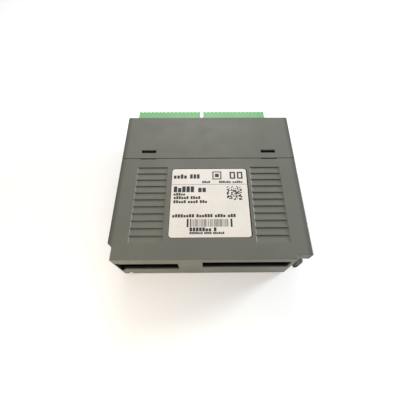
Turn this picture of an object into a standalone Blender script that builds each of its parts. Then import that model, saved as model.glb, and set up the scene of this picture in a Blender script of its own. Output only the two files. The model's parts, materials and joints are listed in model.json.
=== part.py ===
"""PLC analog input module, lying on its side.

X runs along the height of the mounted module (+X is its top), Y from the backplane side to the
wiring side, Z through its 27 mm width. The origin is under the middle of the module, on the side
it lies on. Sizes are in millimetres and become metres when a mesh is made. A depth is a distance
from the rear face.
"""

import math

import bmesh
import bpy
from mathutils import Vector

MM = 0.001
GAP = 0.3  # clearance between pieces that rest on each other

# Housing
HALF_HEIGHT = 49.0
WIDTH = 27.0
HOUSING_DEPTH = 90.0
TOTAL_DEPTH = 101.0
SEAM_DEPTH = 58.5
SEAM_HALF_GAP = 0.15
WALL = 2.0
EDGE = 0.4
REAR_LEFT_X = -46.9
REAR_RIGHT_X = 41.5
SHOULDER_DEPTH = 8.5
REAR_STEP_DEPTH = 6.5
FLANGE_DEPTH = 2.0

# Latch pocket and release lever
POCKET_Z = (6.6, 20.4)
POCKET_END = 31.0
LOWER_FLANGE_DEPTH = 8.0
PIVOT = (45.2, 26.0)
PIN_RADIUS = 1.0
LEVER_Z = (7.0, 20.0)
HOOK_Z = (9.7, 17.3)
SPRING_DEPTH = 14.0
SPRING_BORE_RADIUS = 1.7
SPRING_SPAN_X = (41.85, 47.05)

# Rear openings, as (low, high) in X and Z
GUIDE_SLOT_X = (-46.1, -15.6)
GUIDE_SLOT_Z = (9.8, 20.0)
GUIDE_LEAD_IN_Z = (7.4, 21.2)
CORNER_WALL = 0.7
CONNECTOR_SLOT_X = (-3.4, 39.0)
CONNECTOR_SLOT_Z = (12.5, 22.5)

# Louvres
LOUVRE_COUNT = 11
LOUVRE_PITCH = 4.03
LOUVRE_FIRST_DEPTH = 52.0
LOUVRE_X = (22.6, 39.2)
LOUVRE_CUT = 0.9
SLIT = 0.5

# Snap tongues and their windows
SNAP_X = (30.0, 38.3)
SNAP_WINDOW_DEPTH = (62.3, 64.5)
SNAP_SIDE_GAP = 0.3

# Rating label
LABEL_HALF = 20.2
LABEL_DEPTH = (11.0, 51.1)
LABEL_RADIUS = 1.5
LABEL_THICKNESS = 0.22
RECESS = 0.5

# Terminal plugs and headers
POLES = 15
PITCH = 2.54
PLUG_X = {"lower": (-44.7, -5.1), "upper": (-3.0, 36.6)}
PLUG_Z = (8.4, 21.8)
PLUG_SHOULDER = 89.3
TONGUE_DEPTH = (76.6, 89.4)
TONGUE_Z = (9.7, 20.7)
HEADER_DEPTH = (74.0, 89.0)
HEADER_Z = (8.2, 22.2)
HEADER_WALL = 1.2
HEADER_END_WALL = 0.7
CHAMBER_DEPTH = (89.9, 95.5)
PIN_Z = 15.2
ENTRY_Z = (10.4, 13.0)
DRIVER_Z = (16.6, 19.4)

# Circuit boards
BOARD_THICKNESS = 1.6
MAIN_BOARD_Z = 6.0
IO_BOARD_Z = 18.6
MAIN_BOARD_TOP = MAIN_BOARD_Z + BOARD_THICKNESS + GAP
IO_BOARD_TOP = IO_BOARD_Z + BOARD_THICKNESS + GAP

# Status lights, as X and the height of each light in the window
LIGHTS = {"run": (41.1, 19.5), "error": (43.1, 15.5), "alarm": (45.1, 11.5)}
LIGHT_DEPTH = 80.0
LENS_X = (39.9, 46.3)
LENS_Z = (4.7, 22.3)

HOUSING_GREY = (0.190, 0.188, 0.160)
CONNECTOR_GREEN = (0.24, 0.56, 0.27)
BLACK_PLASTIC = (0.02, 0.02, 0.02)


def depth(distance):
    """Row Y, in millimetres, of a distance from the rear face."""
    return distance - TOTAL_DEPTH / 2


def material(name, colour, roughness, metallic=0.0):
    mat = bpy.data.materials.new(name)
    mat.use_nodes = True
    shader = mat.node_tree.nodes["Principled BSDF"]
    shader.inputs["Base Color"].default_value = (*colour, 1.0)
    shader.inputs["Roughness"].default_value = roughness
    shader.inputs["Metallic"].default_value = metallic
    return mat


class Workshop:
    """Makes mesh objects in the module's collection, or in the cutters' one."""

    def __init__(self):
        scene = bpy.context.scene
        self.parts = bpy.data.collections.new("plc_module")
        self.cutters = bpy.data.collections.new("cutters")
        scene.collection.children.link(self.parts)
        scene.collection.children.link(self.cutters)
        self.root = bpy.data.objects.new("plc_module_frame", None)
        self.parts.objects.link(self.root)

    def add(self, name, mesh, location, rotation=(0, 0, 0), mat=None):
        obj = bpy.data.objects.new(name, mesh)
        obj.location = Vector(location) * MM
        obj.rotation_euler = rotation
        if mat is None:
            obj.hide_render = True
            obj.display_type = "WIRE"
            self.cutters.objects.link(obj)
            return obj
        obj.data.materials.clear()
        obj.data.materials.append(mat)
        obj.parent = self.root
        self.parts.objects.link(obj)
        return obj

    def box(self, name, x, y, z, mat=None):
        """A block; x and z are (low, high), y is a pair of depths."""
        bm = bmesh.new()
        bmesh.ops.create_cube(bm, size=MM)
        size = (x[1] - x[0], y[1] - y[0], z[1] - z[0])
        bmesh.ops.scale(bm, vec=size, verts=bm.verts)
        middle = (sum(x) / 2, depth(sum(y) / 2), sum(z) / 2)
        return self.add(name, finished(name, bm), middle, mat=mat)

    def rod(self, name, radius, centre, span, axis="Z", sides=32, mat=None):
        """A round rod along Z at (X, depth), or along X at (depth, Z)."""
        bm = bmesh.new()
        bmesh.ops.create_cone(
            bm,
            cap_ends=True,
            segments=sides,
            radius1=radius * MM,
            radius2=radius * MM,
            depth=(span[1] - span[0]) * MM,
        )
        mesh = finished(name, bm)
        mesh.shade_smooth()
        mesh.set_sharp_from_angle(angle=math.radians(40))
        if axis == "Z":
            place, turn = (centre[0], depth(centre[1]), sum(span) / 2), (0, 0, 0)
        else:
            place, turn = (sum(span) / 2, depth(centre[0]), centre[1]), (0, math.pi / 2, 0)
        return self.add(name, mesh, place, turn, mat)

    def extrusion(self, name, outline, span, axis="Z", mat=None):
        """A flat outline given thickness. Its points are (X, depth) along Z, (depth, Z) along X."""
        curve = bpy.data.curves.new(name, "CURVE")
        curve.dimensions = "2D"
        curve.fill_mode = "BOTH"
        curve.extrude = (span[1] - span[0]) / 2 * MM
        spline = curve.splines.new("POLY")
        spline.points.add(len(outline) - 1)
        spline.use_cyclic_u = True
        for point, (first, second) in zip(spline.points, outline):
            if axis == "Z":
                point.co = (first * MM, depth(second) * MM, 0, 1)
            else:
                point.co = (depth(first) * MM, second * MM, 0, 1)
        drawing = bpy.data.objects.new(name + "_outline", curve)
        bpy.context.scene.collection.objects.link(drawing)
        graph = bpy.context.evaluated_depsgraph_get()
        filled = bpy.data.meshes.new_from_object(drawing.evaluated_get(graph))
        bpy.data.objects.remove(drawing)
        bm = bmesh.new()
        bm.from_mesh(filled)
        bmesh.ops.remove_doubles(bm, verts=bm.verts, dist=0.00001)
        mesh = finished(name, bm)
        middle = sum(span) / 2
        if axis == "Z":
            return self.add(name, mesh, (0, 0, middle), mat=mat)
        return self.add(name, mesh, (middle, 0, 0), (math.pi / 2, 0, math.pi / 2), mat)


def finished(name, bm):
    """Close a bmesh off as a mesh whose faces point out."""
    bmesh.ops.recalc_face_normals(bm, faces=bm.faces)
    mesh = bpy.data.meshes.new(name)
    bm.to_mesh(mesh)
    bm.free()
    return mesh


def boolean(target, other, operation="DIFFERENCE"):
    mod = target.modifiers.new(other.name, "BOOLEAN")
    mod.operation = operation
    mod.solver = "EXACT"
    mod.object = other
    return target


def bevel(target, width=EDGE, segments=2):
    mod = target.modifiers.new("rounded_edges", "BEVEL")
    mod.width = width * MM
    mod.segments = segments
    mod.limit_method = "ANGLE"
    return target


def repeat(target, count, offset):
    """Copies of a cutter in a row; the offset is in the object's own axes."""
    mod = target.modifiers.new("row", "ARRAY")
    mod.count = count
    mod.use_relative_offset = False
    mod.use_constant_offset = True
    mod.constant_offset_displace = Vector(offset) * MM
    return target


def mirrored(pair):
    return (-pair[1], -pair[0])


def grown(pair, margin):
    return (pair[0] - margin, pair[1] + margin)


def flipped(outline):
    """The same (depth, Z) outline on the opposite broad side."""
    return [(point[0], WIDTH - point[1]) for point in outline]


def rounded_rectangle(x, y, radius, steps=5):
    """Outline of a rectangle whose corners are arcs."""
    corners = [
        (x[1] - radius, y[1] - radius, 0),
        (x[0] + radius, y[1] - radius, 90),
        (x[0] + radius, y[0] + radius, 180),
        (x[1] - radius, y[0] + radius, 270),
    ]
    outline = []
    for cx, cy, start in corners:
        for step in range(steps + 1):
            angle = math.radians(start + 90 * step / steps)
            outline.append((cx + radius * math.cos(angle), cy + radius * math.sin(angle)))
    return outline


# ---------------------------------------------------------------- main case


def case_interior(shop):
    """The hollow of the case, stepping round the walls of the latch pocket."""
    inner = HALF_HEIGHT - WALL
    left = REAR_LEFT_X + CORNER_WALL
    outline = [
        (-inner, SEAM_DEPTH + WALL),
        (-inner, SHOULDER_DEPTH + 0.8),
        (left, REAR_STEP_DEPTH + 0.8),
        (left, WALL),
        (REAR_RIGHT_X - WALL, WALL),
        (REAR_RIGHT_X - WALL, FLANGE_DEPTH + WALL),
        (inner, FLANGE_DEPTH + WALL),
        (inner, SEAM_DEPTH + WALL),
    ]
    hollow = shop.extrusion("case_interior", outline, (WALL, WIDTH - WALL))
    walls_x = (REAR_RIGHT_X - WALL, HALF_HEIGHT + 1)
    walls_z = grown(POCKET_Z, WALL)
    walls = shop.box("pocket_walls", walls_x, (-1, POCKET_END + WALL), walls_z)
    step = shop.box("pocket_step", walls_x, (-1, LOWER_FLANGE_DEPTH + WALL), (-1, walls_z[1] - 1))
    boolean(hollow, walls)
    boolean(hollow, step)
    return hollow


def guide_slot(shop):
    """Rear slot, widened into a lead-in where it runs out to the corner."""
    lead_in = GUIDE_SLOT_X[0] + 2.3
    outline = [
        (GUIDE_SLOT_X[0], GUIDE_LEAD_IN_Z[0]),
        (lead_in, GUIDE_SLOT_Z[0]),
        (GUIDE_SLOT_X[1], GUIDE_SLOT_Z[0]),
        (GUIDE_SLOT_X[1], GUIDE_SLOT_Z[1]),
        (lead_in, GUIDE_SLOT_Z[1]),
        (GUIDE_SLOT_X[0], GUIDE_LEAD_IN_Z[1]),
    ]
    flat = [(x, z + TOTAL_DEPTH / 2) for x, z in outline]
    slot = shop.extrusion("guide_slot", flat, (-3.0, 3.0))
    slot.rotation_euler = (math.pi / 2, 0, 0)
    slot.location = Vector((0, depth(0), 0)) * MM
    return slot


def louvre_cutters(shop, near_side):
    """Two columns of louvres, each a ramp that ends in a slit through the wall."""
    ramp = [
        (LOUVRE_FIRST_DEPTH, WIDTH + 0.2),
        (LOUVRE_FIRST_DEPTH, WIDTH - LOUVRE_CUT),
        (LOUVRE_FIRST_DEPTH - LOUVRE_PITCH + 0.25, WIDTH),
        (LOUVRE_FIRST_DEPTH - LOUVRE_PITCH + 0.25, WIDTH + 0.2),
    ]
    slit = [
        (LOUVRE_FIRST_DEPTH, WIDTH - LOUVRE_CUT + 0.3),
        (LOUVRE_FIRST_DEPTH, WIDTH - WALL - 0.5),
        (LOUVRE_FIRST_DEPTH - SLIT, WIDTH - WALL - 0.5),
        (LOUVRE_FIRST_DEPTH - SLIT, WIDTH - LOUVRE_CUT + 0.3),
    ]
    if near_side:
        ramp, slit = flipped(ramp), flipped(slit)
    side = "near" if near_side else "far"
    cutters = []
    for column, span in (("right", LOUVRE_X), ("left", mirrored(LOUVRE_X))):
        for kind, outline, inset in (("ramp", ramp, 0), ("slit", slit, 0.6)):
            name = f"louvre_{kind}_{side}_{column}"
            cutter = shop.extrusion(name, outline, grown(span, -inset), axis="X")
            cutters.append(repeat(cutter, LOUVRE_COUNT, (-LOUVRE_PITCH, 0, 0)))
    return cutters


def snap_tongue(shop, name, span, near_side):
    """A springy tongue whose bump rises into the front cover's window."""
    root, tip = 53.2, 65.6
    bump = grown(SNAP_WINDOW_DEPTH, -SNAP_SIDE_GAP)
    under = WIDTH - WALL - 0.4
    outline = [
        (root, WIDTH - WALL + 0.1),
        (root, 23.0),
        (tip, 23.0),
        (tip, 23.8),
        (bump[1], under - 0.2),
        (bump[1], 25.8),
        (bump[0], 25.8),
        (bump[0], under),
        (57.0, under),
        (56.0, WIDTH - WALL + 0.1),
    ]
    outline = flipped(outline) if near_side else outline
    return shop.extrusion(name, outline, grown(span, -SNAP_SIDE_GAP), axis="X")


def board_rails(shop, case):
    """Ribs on both side walls that hold the edges of the two boards."""
    sides = {"left": (-HALF_HEIGHT + WALL - 0.2, -45.4), "right": (45.4, HALF_HEIGHT - WALL + 0.2)}
    for board, low in (("main", MAIN_BOARD_Z), ("io", IO_BOARD_Z)):
        for side, span in sides.items():
            start = 12.0 if side == "left" else POCKET_END + WALL + 2.0
            for place, z in (("under", low - GAP - 1.2), ("over", low + BOARD_THICKNESS + GAP)):
                name = f"rail_{board}_{side}_{place}"
                rail = shop.box(name, span, (start, 55.0), (z, z + 1.2))
                boolean(case, rail, "UNION")


def make_main_case(shop, mat):
    outline = [
        (-HALF_HEIGHT, SEAM_DEPTH - SEAM_HALF_GAP),
        (-HALF_HEIGHT, SHOULDER_DEPTH),
        (REAR_LEFT_X, REAR_STEP_DEPTH),
        (REAR_LEFT_X, 0),
        (REAR_RIGHT_X, 0),
        (REAR_RIGHT_X, FLANGE_DEPTH),
        (HALF_HEIGHT, FLANGE_DEPTH),
        (HALF_HEIGHT, SEAM_DEPTH - SEAM_HALF_GAP),
    ]
    case = bevel(shop.extrusion("main_case", outline, (0, WIDTH), mat=mat), width=0.3, segments=1)
    boolean(case, case_interior(shop))
    pocket_x = (REAR_RIGHT_X, HALF_HEIGHT + 1)
    boolean(case, shop.box("latch_pocket", pocket_x, (-1, POCKET_END), POCKET_Z))
    flange = (-1, LOWER_FLANGE_DEPTH)
    boolean(case, shop.box("lower_flange_cut", pocket_x, flange, (-1, POCKET_Z[0] + 1)))
    boolean(case, guide_slot(shop))
    slot_depth = (-1, WALL + 0.5)
    boolean(case, shop.box("connector_slot", CONNECTOR_SLOT_X, slot_depth, CONNECTOR_SLOT_Z))
    boolean(case, shop.box("corner_notch", (-44.5, -42.0), (-1, 1.2), (-1, 3.0)))
    for near_side in (False, True):
        for cutter in louvre_cutters(shop, near_side):
            boolean(case, cutter)
    recess = rounded_rectangle(
        (-LABEL_HALF - 0.2, LABEL_HALF + 0.2), grown(LABEL_DEPTH, 0.2), LABEL_RADIUS + 0.2
    )
    boolean(case, shop.extrusion("label_recess", recess, (WIDTH - RECESS, WIDTH + 1)))
    for side, span in (("right", (HALF_HEIGHT - 3, HALF_HEIGHT + 1)),
                       ("left", (-HALF_HEIGHT - 1, -HALF_HEIGHT + 3))):
        vent = shop.box(f"vent_{side}", span, (36.0, 37.4), (5.5, 17.5))
        boolean(case, repeat(vent, 5, (0, 4.0, 0)))
    board_rails(shop, case)
    for side, span in (("right", SNAP_X), ("left", mirrored(SNAP_X))):
        for near_side in (False, True):
            face = "near" if near_side else "far"
            tongue = snap_tongue(shop, f"tongue_{side}_{face}", span, near_side)
            boolean(case, tongue, "UNION")
    bore = shop.rod("pin_bore", PIN_RADIUS + GAP, PIVOT, grown(POCKET_Z, WALL + 1))
    return boolean(case, bore)


# -------------------------------------------------------------- front cover


def make_front_cover(shop, mat):
    span = (-HALF_HEIGHT, HALF_HEIGHT)
    shell = shop.box("front_cover", span, (SEAM_DEPTH + SEAM_HALF_GAP, HOUSING_DEPTH), (0, WIDTH), mat)
    bevel(shell)
    inner = (WALL, WIDTH - WALL)
    hollow = shop.box("cover_interior", grown(span, -WALL), (50, HOUSING_DEPTH - WALL), inner)
    boolean(shell, hollow)
    opening = (PLUG_X["lower"][0] - 0.5, PLUG_X["upper"][1] + 0.5)
    plug_opening = shop.box("plug_opening", opening, (80, 95), grown(HEADER_Z, 0.6))
    boolean(shell, plug_opening)
    boolean(shell, shop.box("light_window", grown(LENS_X, GAP), (80, 95), grown(LENS_Z, GAP)))
    for side, window in (("right", SNAP_X), ("left", mirrored(SNAP_X))):
        for face, z in (("far", (WIDTH - WALL - 1, WIDTH + 1)), ("near", (-1, WALL + 1))):
            boolean(shell, shop.box(f"snap_window_{side}_{face}", window, SNAP_WINDOW_DEPTH, z))
    return shell


def make_status_window(shop, mat):
    lens = shop.box("status_window", LENS_X, (87.0, HOUSING_DEPTH - 0.1), LENS_Z, mat)
    lip = shop.box("lens_lip", grown(LENS_X, 0.5), (86.6, HOUSING_DEPTH - WALL - GAP), grown(LENS_Z, 0.7))
    return boolean(lens, lip, "UNION")


def make_rating_label(shop, mat):
    outline = rounded_rectangle((-LABEL_HALF, LABEL_HALF), LABEL_DEPTH, LABEL_RADIUS)
    top = WIDTH - 0.02
    return shop.extrusion("rating_label", outline, (top - LABEL_THICKNESS, top), mat=mat)


# ------------------------------------------------------------ release lever


def make_release_lever(shop, mat):
    """Finger pad, pivot boss and hooked arm; its origin lies on the pin's axis."""
    arm_outline = [
        (43.9, PIVOT[1]),
        (43.9, 0.9),
        (44.5, 0.3),
        (45.3, 0.3),
        (46.0, 1.2),
        (46.0, 2.8),
        (45.0, 3.4),
        (45.0, 9.2),
        (46.8, 10.8),
        (47.0, PIVOT[1]),
    ]
    pad = shop.box("release_lever", (46.6, 48.7), (9.5, 28.0), LEVER_Z, mat)
    bevel(pad, width=0.4)
    boolean(pad, shop.rod("lever_boss", 2.3, PIVOT, grown(LEVER_Z, -0.05)), "UNION")
    boolean(pad, shop.extrusion("lever_arm", arm_outline, HOOK_Z), "UNION")
    spring_seat = shop.rod(
        "spring_bore", SPRING_BORE_RADIUS, (SPRING_DEPTH, sum(HOOK_Z) / 2), (40.0, 47.4), axis="X", sides=20
    )
    boolean(pad, spring_seat)
    boolean(pad, shop.rod("lever_bore", PIN_RADIUS + GAP, PIVOT, grown(LEVER_Z, 1)))
    axis_point = Vector((PIVOT[0], depth(PIVOT[1]), 0)) * MM
    shift = pad.location - axis_point
    for vertex in pad.data.vertices:
        vertex.co += shift
    pad.location = axis_point
    return pad


def make_lever_pin(shop, mat):
    return shop.rod("lever_pin", PIN_RADIUS, PIVOT, grown(POCKET_Z, WALL - 0.3), mat=mat)


def make_lever_spring(shop, mat):
    """Compression spring along X, between the pocket's wall and the lever."""
    wire, turns, steps = 0.17, 5, 12
    coil_radius = SPRING_BORE_RADIUS - 0.25 - wire
    start, end = SPRING_SPAN_X[0] + wire, SPRING_SPAN_X[1] - wire
    curve = bpy.data.curves.new("lever_spring", "CURVE")
    curve.dimensions = "3D"
    curve.bevel_depth = wire * MM
    curve.bevel_resolution = 1
    curve.use_fill_caps = True
    spline = curve.splines.new("POLY")
    count = turns * steps + 1
    spline.points.add(count - 1)
    for index, point in enumerate(spline.points):
        angle = 2 * math.pi * index / steps
        x = start + (end - start) * index / (count - 1)
        across, up = coil_radius * math.cos(angle), coil_radius * math.sin(angle)
        point.co = (x * MM, across * MM, up * MM, 1)
    spring = bpy.data.objects.new("lever_spring", curve)
    spring.location = Vector((0, depth(SPRING_DEPTH), sum(HOOK_Z) / 2)) * MM
    spring.parent = shop.root
    curve.materials.append(mat)
    shop.parts.objects.link(spring)
    return spring


# --------------------------------------------------- terminal plugs, headers


def pole_x(span, index=0):
    """X of a pole's centre: the poles are centred in their plug."""
    return sum(span) / 2 + (index - (POLES - 1) / 2) * PITCH


def across_poles(span, margin):
    """From the first pole's centre to the last one's, and a margin beyond both."""
    return (pole_x(span) - margin, pole_x(span, POLES - 1) + margin)


def pole_row(shop, name, span, half_width, y, z, mat=None):
    """A block at the first pole, repeated at every pole."""
    first = pole_x(span)
    block = shop.box(name, (first - half_width, first + half_width), y, z, mat)
    return repeat(block, POLES, (PITCH, 0, 0))


def make_terminal_plug(shop, which, mat):
    """Plug with a wire entry, a driver slot and a notch in its front edge for each pole."""
    span = PLUG_X[which]
    tongue_x = grown(span, -(HEADER_END_WALL + GAP))
    plug = shop.box(f"terminal_plug_{which}", span, (PLUG_SHOULDER, TOTAL_DEPTH), PLUG_Z, mat)
    bevel(plug, width=0.25, segments=1)
    boolean(plug, shop.box(f"tongue_{which}", tongue_x, TONGUE_DEPTH, TONGUE_Z), "UNION")
    well_depth = (TONGUE_DEPTH[0] - 1, CHAMBER_DEPTH[0] + 0.5)
    well = shop.box(f"pin_well_{which}", across_poles(span, 0.6), well_depth, (PIN_Z - 1.3, PIN_Z + 1.3))
    boolean(plug, well)
    chamber_z = (ENTRY_Z[0] - 0.6, DRIVER_Z[1] + 0.2)
    boolean(plug, shop.box(f"clamp_chamber_{which}", across_poles(span, 1.0), CHAMBER_DEPTH, chamber_z))
    front = (CHAMBER_DEPTH[1] - 0.5, TOTAL_DEPTH + 1)
    boolean(plug, pole_row(shop, f"wire_entry_{which}", span, 0.85, front, ENTRY_Z))
    boolean(plug, pole_row(shop, f"driver_slot_{which}", span, 0.8, front, DRIVER_Z))
    notch_z = (PLUG_Z[1] - 0.9, PLUG_Z[1] + 1)
    notch_depth = (98.6, TOTAL_DEPTH + 1)
    return boolean(plug, pole_row(shop, f"edge_notch_{which}", span, 0.6, notch_depth, notch_z))


def make_clamp_row(shop, which, mat):
    """The wire clamps of one plug, each with its own wire funnel and screw head."""
    span = PLUG_X[which]
    row_depth = grown(CHAMBER_DEPTH, -GAP)
    row_z = (ENTRY_Z[0] - GAP, DRIVER_Z[1] - 0.1)
    row = shop.box(f"clamp_row_{which}", across_poles(span, 1.0 - GAP), row_depth, row_z, mat)
    funnel = (row_depth[0] + 1.2, row_depth[1] + 1)
    boolean(row, pole_row(shop, f"wire_funnel_{which}", span, 0.6, funnel, grown(ENTRY_Z, -0.3)))
    slot = (row_depth[1] - 0.6, row_depth[1] + 1)
    middle = sum(DRIVER_Z) / 2
    return boolean(row, pole_row(shop, f"screw_slot_{which}", span, 0.55, slot, grown((middle, middle), 0.2)))


def make_header(shop, which, mat):
    span = PLUG_X[which]
    body = shop.box(f"header_{which}", span, HEADER_DEPTH, HEADER_Z, mat)
    inner_x, inner_z = grown(span, -HEADER_END_WALL), grown(HEADER_Z, -HEADER_WALL)
    socket = (HEADER_DEPTH[0] + 2.0, HEADER_DEPTH[1] + 1)
    boolean(body, shop.box(f"socket_{which}", inner_x, socket, inner_z))
    passage = (PIN_Z - 0.8, PIN_Z + 0.8)
    passage_x = across_poles(span, 0.6)
    return boolean(body, shop.box(f"pin_passage_{which}", passage_x, (73, 77), passage))


def make_header_pins(shop, which, mat):
    """One header's pins on a common carrier that bends down to the main board."""
    span = PLUG_X[which]
    carrier = [
        (72.4, MAIN_BOARD_TOP),
        (73.0, MAIN_BOARD_TOP),
        (73.0, PIN_Z - 0.3),
        (76.6, PIN_Z - 0.3),
        (76.6, PIN_Z + 0.3),
        (72.4, PIN_Z + 0.3),
    ]
    pins = shop.extrusion(f"header_pins_{which}", carrier, across_poles(span, 0.3), axis="X", mat=mat)
    row = pole_row(shop, f"pin_{which}", span, 0.28, (76.2, 84.5), grown((PIN_Z, PIN_Z), 0.28))
    return boolean(pins, row, "UNION")


# ------------------------------------------------------------------- boards


def make_boards(shop, mat):
    left, right = -46.6, 46.6
    pocket_x, pocket_end = REAR_RIGHT_X - WALL - 0.4, POCKET_END + WALL + 0.6

    def outline(front):
        return [
            (left, 12.4),
            (pocket_x, 12.4),
            (pocket_x, pocket_end),
            (right, pocket_end),
            (right, front),
            (left, front),
        ]

    shop.extrusion("main_board", outline(86.0), (MAIN_BOARD_Z, MAIN_BOARD_Z + BOARD_THICKNESS), mat=mat)
    shop.extrusion("io_board", outline(70.0), (IO_BOARD_Z, IO_BOARD_Z + BOARD_THICKNESS), mat=mat)


def make_backplane_connector(shop, shell_mat, contact_mat):
    body_x, body_z = (-2.6, 38.2), (13.0, 22.0)
    middle = sum(body_z) / 2
    body = shop.box("backplane_connector", body_x, (4.6, 12.0), body_z, shell_mat)
    boolean(body, shop.box("connector_mouth", grown(body_x, -2.0), (4.0, 10.0), grown((middle, middle), 2.3)))
    boolean(body, shop.box("tongue_passage", grown(body_x, -2.6), (9, 13), grown((middle, middle), 0.6)))
    tongue = shop.box(
        "backplane_contacts", grown(body_x, -3.0), (5.4, 12.1), grown((middle, middle), 0.3), contact_mat
    )
    groove_x = (body_x[0] + 3.6, body_x[0] + 4.1)
    groove = shop.box("contact_groove", groove_x, (5.0, 9.0), (middle + 0.1, middle + 1))
    boolean(tongue, repeat(groove, 27, (1.27, 0, 0)))


def make_components(shop, mats):
    """Parts on the boards, as name, middle in X and depth, size, board top and material."""
    chip, shell, metal = mats["chip"], mats["module"], mats["metal"]
    parts = [
        ("processor_chip", (10, 58), (14, 14, 1.6), MAIN_BOARD_TOP, chip),
        ("converter_chip", (-20, 60), (10, 10, 1.5), MAIN_BOARD_TOP, chip),
        ("gate_array", (0, 40), (12, 12, 1.6), MAIN_BOARD_TOP, chip),
        ("isolation_transformer", (26, 47), (12, 10, 8.6), MAIN_BOARD_TOP, shell),
        ("power_converter", (25, 26), (20, 10, 8.0), MAIN_BOARD_TOP, shell),
        ("power_inductor", (8, 27), (7, 7, 4.0), MAIN_BOARD_TOP, shell),
        ("crystal", (-6, 21), (11, 4.5, 3.5), MAIN_BOARD_TOP, metal),
        ("board_connector", (-22, 31), (20, 6, IO_BOARD_Z - GAP - MAIN_BOARD_TOP), MAIN_BOARD_TOP, chip),
    ]
    for index, x in enumerate((-38, -18, 6, 26), start=1):
        parts.append((f"multiplexer_{index}", (x, 69), (10, 4, 1.5), MAIN_BOARD_TOP, chip))
    for index, x in enumerate((-42, -34, -26, -18), start=1):
        parts.append((f"photocoupler_{index}", (x, 40), (4.5, 6.5, 3.2), IO_BOARD_TOP, chip))
    for name, (x, y), (wide, long, high), base, mat in parts:
        block = shop.box(name, (x - wide / 2, x + wide / 2), (y - long / 2, y + long / 2), (base, base + high), mat)
        bevel(block, width=0.2, segments=1)
    for index, y in enumerate((20, 48), start=1):
        can = shop.rod(f"capacitor_{index}", 3.0, (-40, y), (MAIN_BOARD_TOP, MAIN_BOARD_TOP + 8.0), sides=24, mat=metal)
        bevel(can, width=0.4, segments=1)


def make_lights(shop, mats):
    """A chip light on the main board and a bent light guide to the window for each status."""
    for status, (x, height) in LIGHTS.items():
        across = grown((x, x), 0.6)
        led_z = (MAIN_BOARD_TOP, MAIN_BOARD_TOP + 0.8)
        shop.box(f"led_{status}", across, grown((LIGHT_DEPTH, LIGHT_DEPTH), 0.8), led_z, mats[status])
        base = led_z[1] + GAP
        guide = [
            (LIGHT_DEPTH - 0.6, base),
            (LIGHT_DEPTH + 0.6, base),
            (LIGHT_DEPTH + 0.6, height - 0.6),
            (86.3, height - 0.6),
            (86.3, height + 0.6),
            (LIGHT_DEPTH - 0.1, height + 0.6),
            (LIGHT_DEPTH - 0.6, height + 0.1),
        ]
        shop.extrusion(f"light_guide_{status}", guide, across, axis="X", mat=mats["clear"])


def main():
    for obj in list(bpy.data.objects):
        bpy.data.objects.remove(obj, do_unlink=True)
    shop = Workshop()
    housing = material("housing_grey", HOUSING_GREY, 0.55)
    green = material("connector_green", CONNECTOR_GREEN, 0.45)
    steel = material("plated_steel", (0.62, 0.61, 0.58), 0.3, 1.0)
    clear = material("clear_plastic", (0.75, 0.78, 0.78), 0.15)
    mats = {
        "chip": material("chip_black", BLACK_PLASTIC, 0.5),
        "module": material("moulded_black", (0.04, 0.04, 0.045), 0.4),
        "metal": material("can_metal", (0.7, 0.7, 0.7), 0.3, 1.0),
        "clear": clear,
        "run": material("led_green", (0.1, 0.6, 0.15), 0.3),
        "error": material("led_red", (0.7, 0.05, 0.04), 0.3),
        "alarm": material("led_amber", (0.8, 0.35, 0.03), 0.3),
    }
    make_main_case(shop, housing)
    make_front_cover(shop, housing)
    make_status_window(shop, clear)
    make_rating_label(shop, material("label_paper", (0.82, 0.77, 0.69), 0.5))
    make_release_lever(shop, material("lever_grey", (0.15, 0.15, 0.13), 0.5))
    make_lever_pin(shop, steel)
    make_lever_spring(shop, steel)
    for which in PLUG_X:
        make_terminal_plug(shop, which, green)
        make_clamp_row(shop, which, steel)
        make_header(shop, which, green)
        make_header_pins(shop, which, steel)
    make_boards(shop, material("board_laminate", (0.02, 0.16, 0.07), 0.4))
    gold = material("contact_gold", (0.85, 0.62, 0.25), 0.25, 1.0)
    make_backplane_connector(shop, mats["chip"], gold)
    make_components(shop, mats)
    make_lights(shop, mats)


main()
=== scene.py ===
"""Looks of a PLC analog input module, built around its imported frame.

The module lies on its side: X runs along its mounted height, Y from the backplane side to the
wiring side, Z through its width. Sizes are in millimetres and become metres in the meshes.
A depth is a distance from the rear face.
"""

import json
import math
import random

import bmesh
import bpy
from mathutils import Matrix, Vector


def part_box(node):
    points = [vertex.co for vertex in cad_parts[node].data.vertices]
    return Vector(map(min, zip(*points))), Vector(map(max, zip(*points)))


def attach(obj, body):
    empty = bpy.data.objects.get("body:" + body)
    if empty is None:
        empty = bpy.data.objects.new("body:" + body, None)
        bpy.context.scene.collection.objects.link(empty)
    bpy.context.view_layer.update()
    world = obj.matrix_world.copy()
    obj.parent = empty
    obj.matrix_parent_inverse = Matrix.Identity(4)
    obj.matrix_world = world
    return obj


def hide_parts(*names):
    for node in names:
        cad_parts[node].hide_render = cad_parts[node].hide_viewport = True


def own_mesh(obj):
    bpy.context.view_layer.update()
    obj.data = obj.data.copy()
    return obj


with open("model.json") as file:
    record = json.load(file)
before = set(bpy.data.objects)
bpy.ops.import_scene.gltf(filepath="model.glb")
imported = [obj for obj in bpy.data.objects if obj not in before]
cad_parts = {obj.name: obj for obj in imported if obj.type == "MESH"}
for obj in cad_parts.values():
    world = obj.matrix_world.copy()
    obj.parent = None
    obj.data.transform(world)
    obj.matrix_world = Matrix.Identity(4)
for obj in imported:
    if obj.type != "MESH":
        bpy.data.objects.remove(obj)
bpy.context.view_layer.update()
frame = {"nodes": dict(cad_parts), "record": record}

MM = 0.001


def node_box(name):
    """The low and high corners of a CAD node, in millimetres."""
    low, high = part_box(name)
    return low / MM, high / MM


def node_spans(name):
    """The x, y and z spans of a CAD node, in millimetres."""
    low, high = node_box(name)
    return (low.x, high.x), (low.y, high.y), (low.z, high.z)


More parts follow.
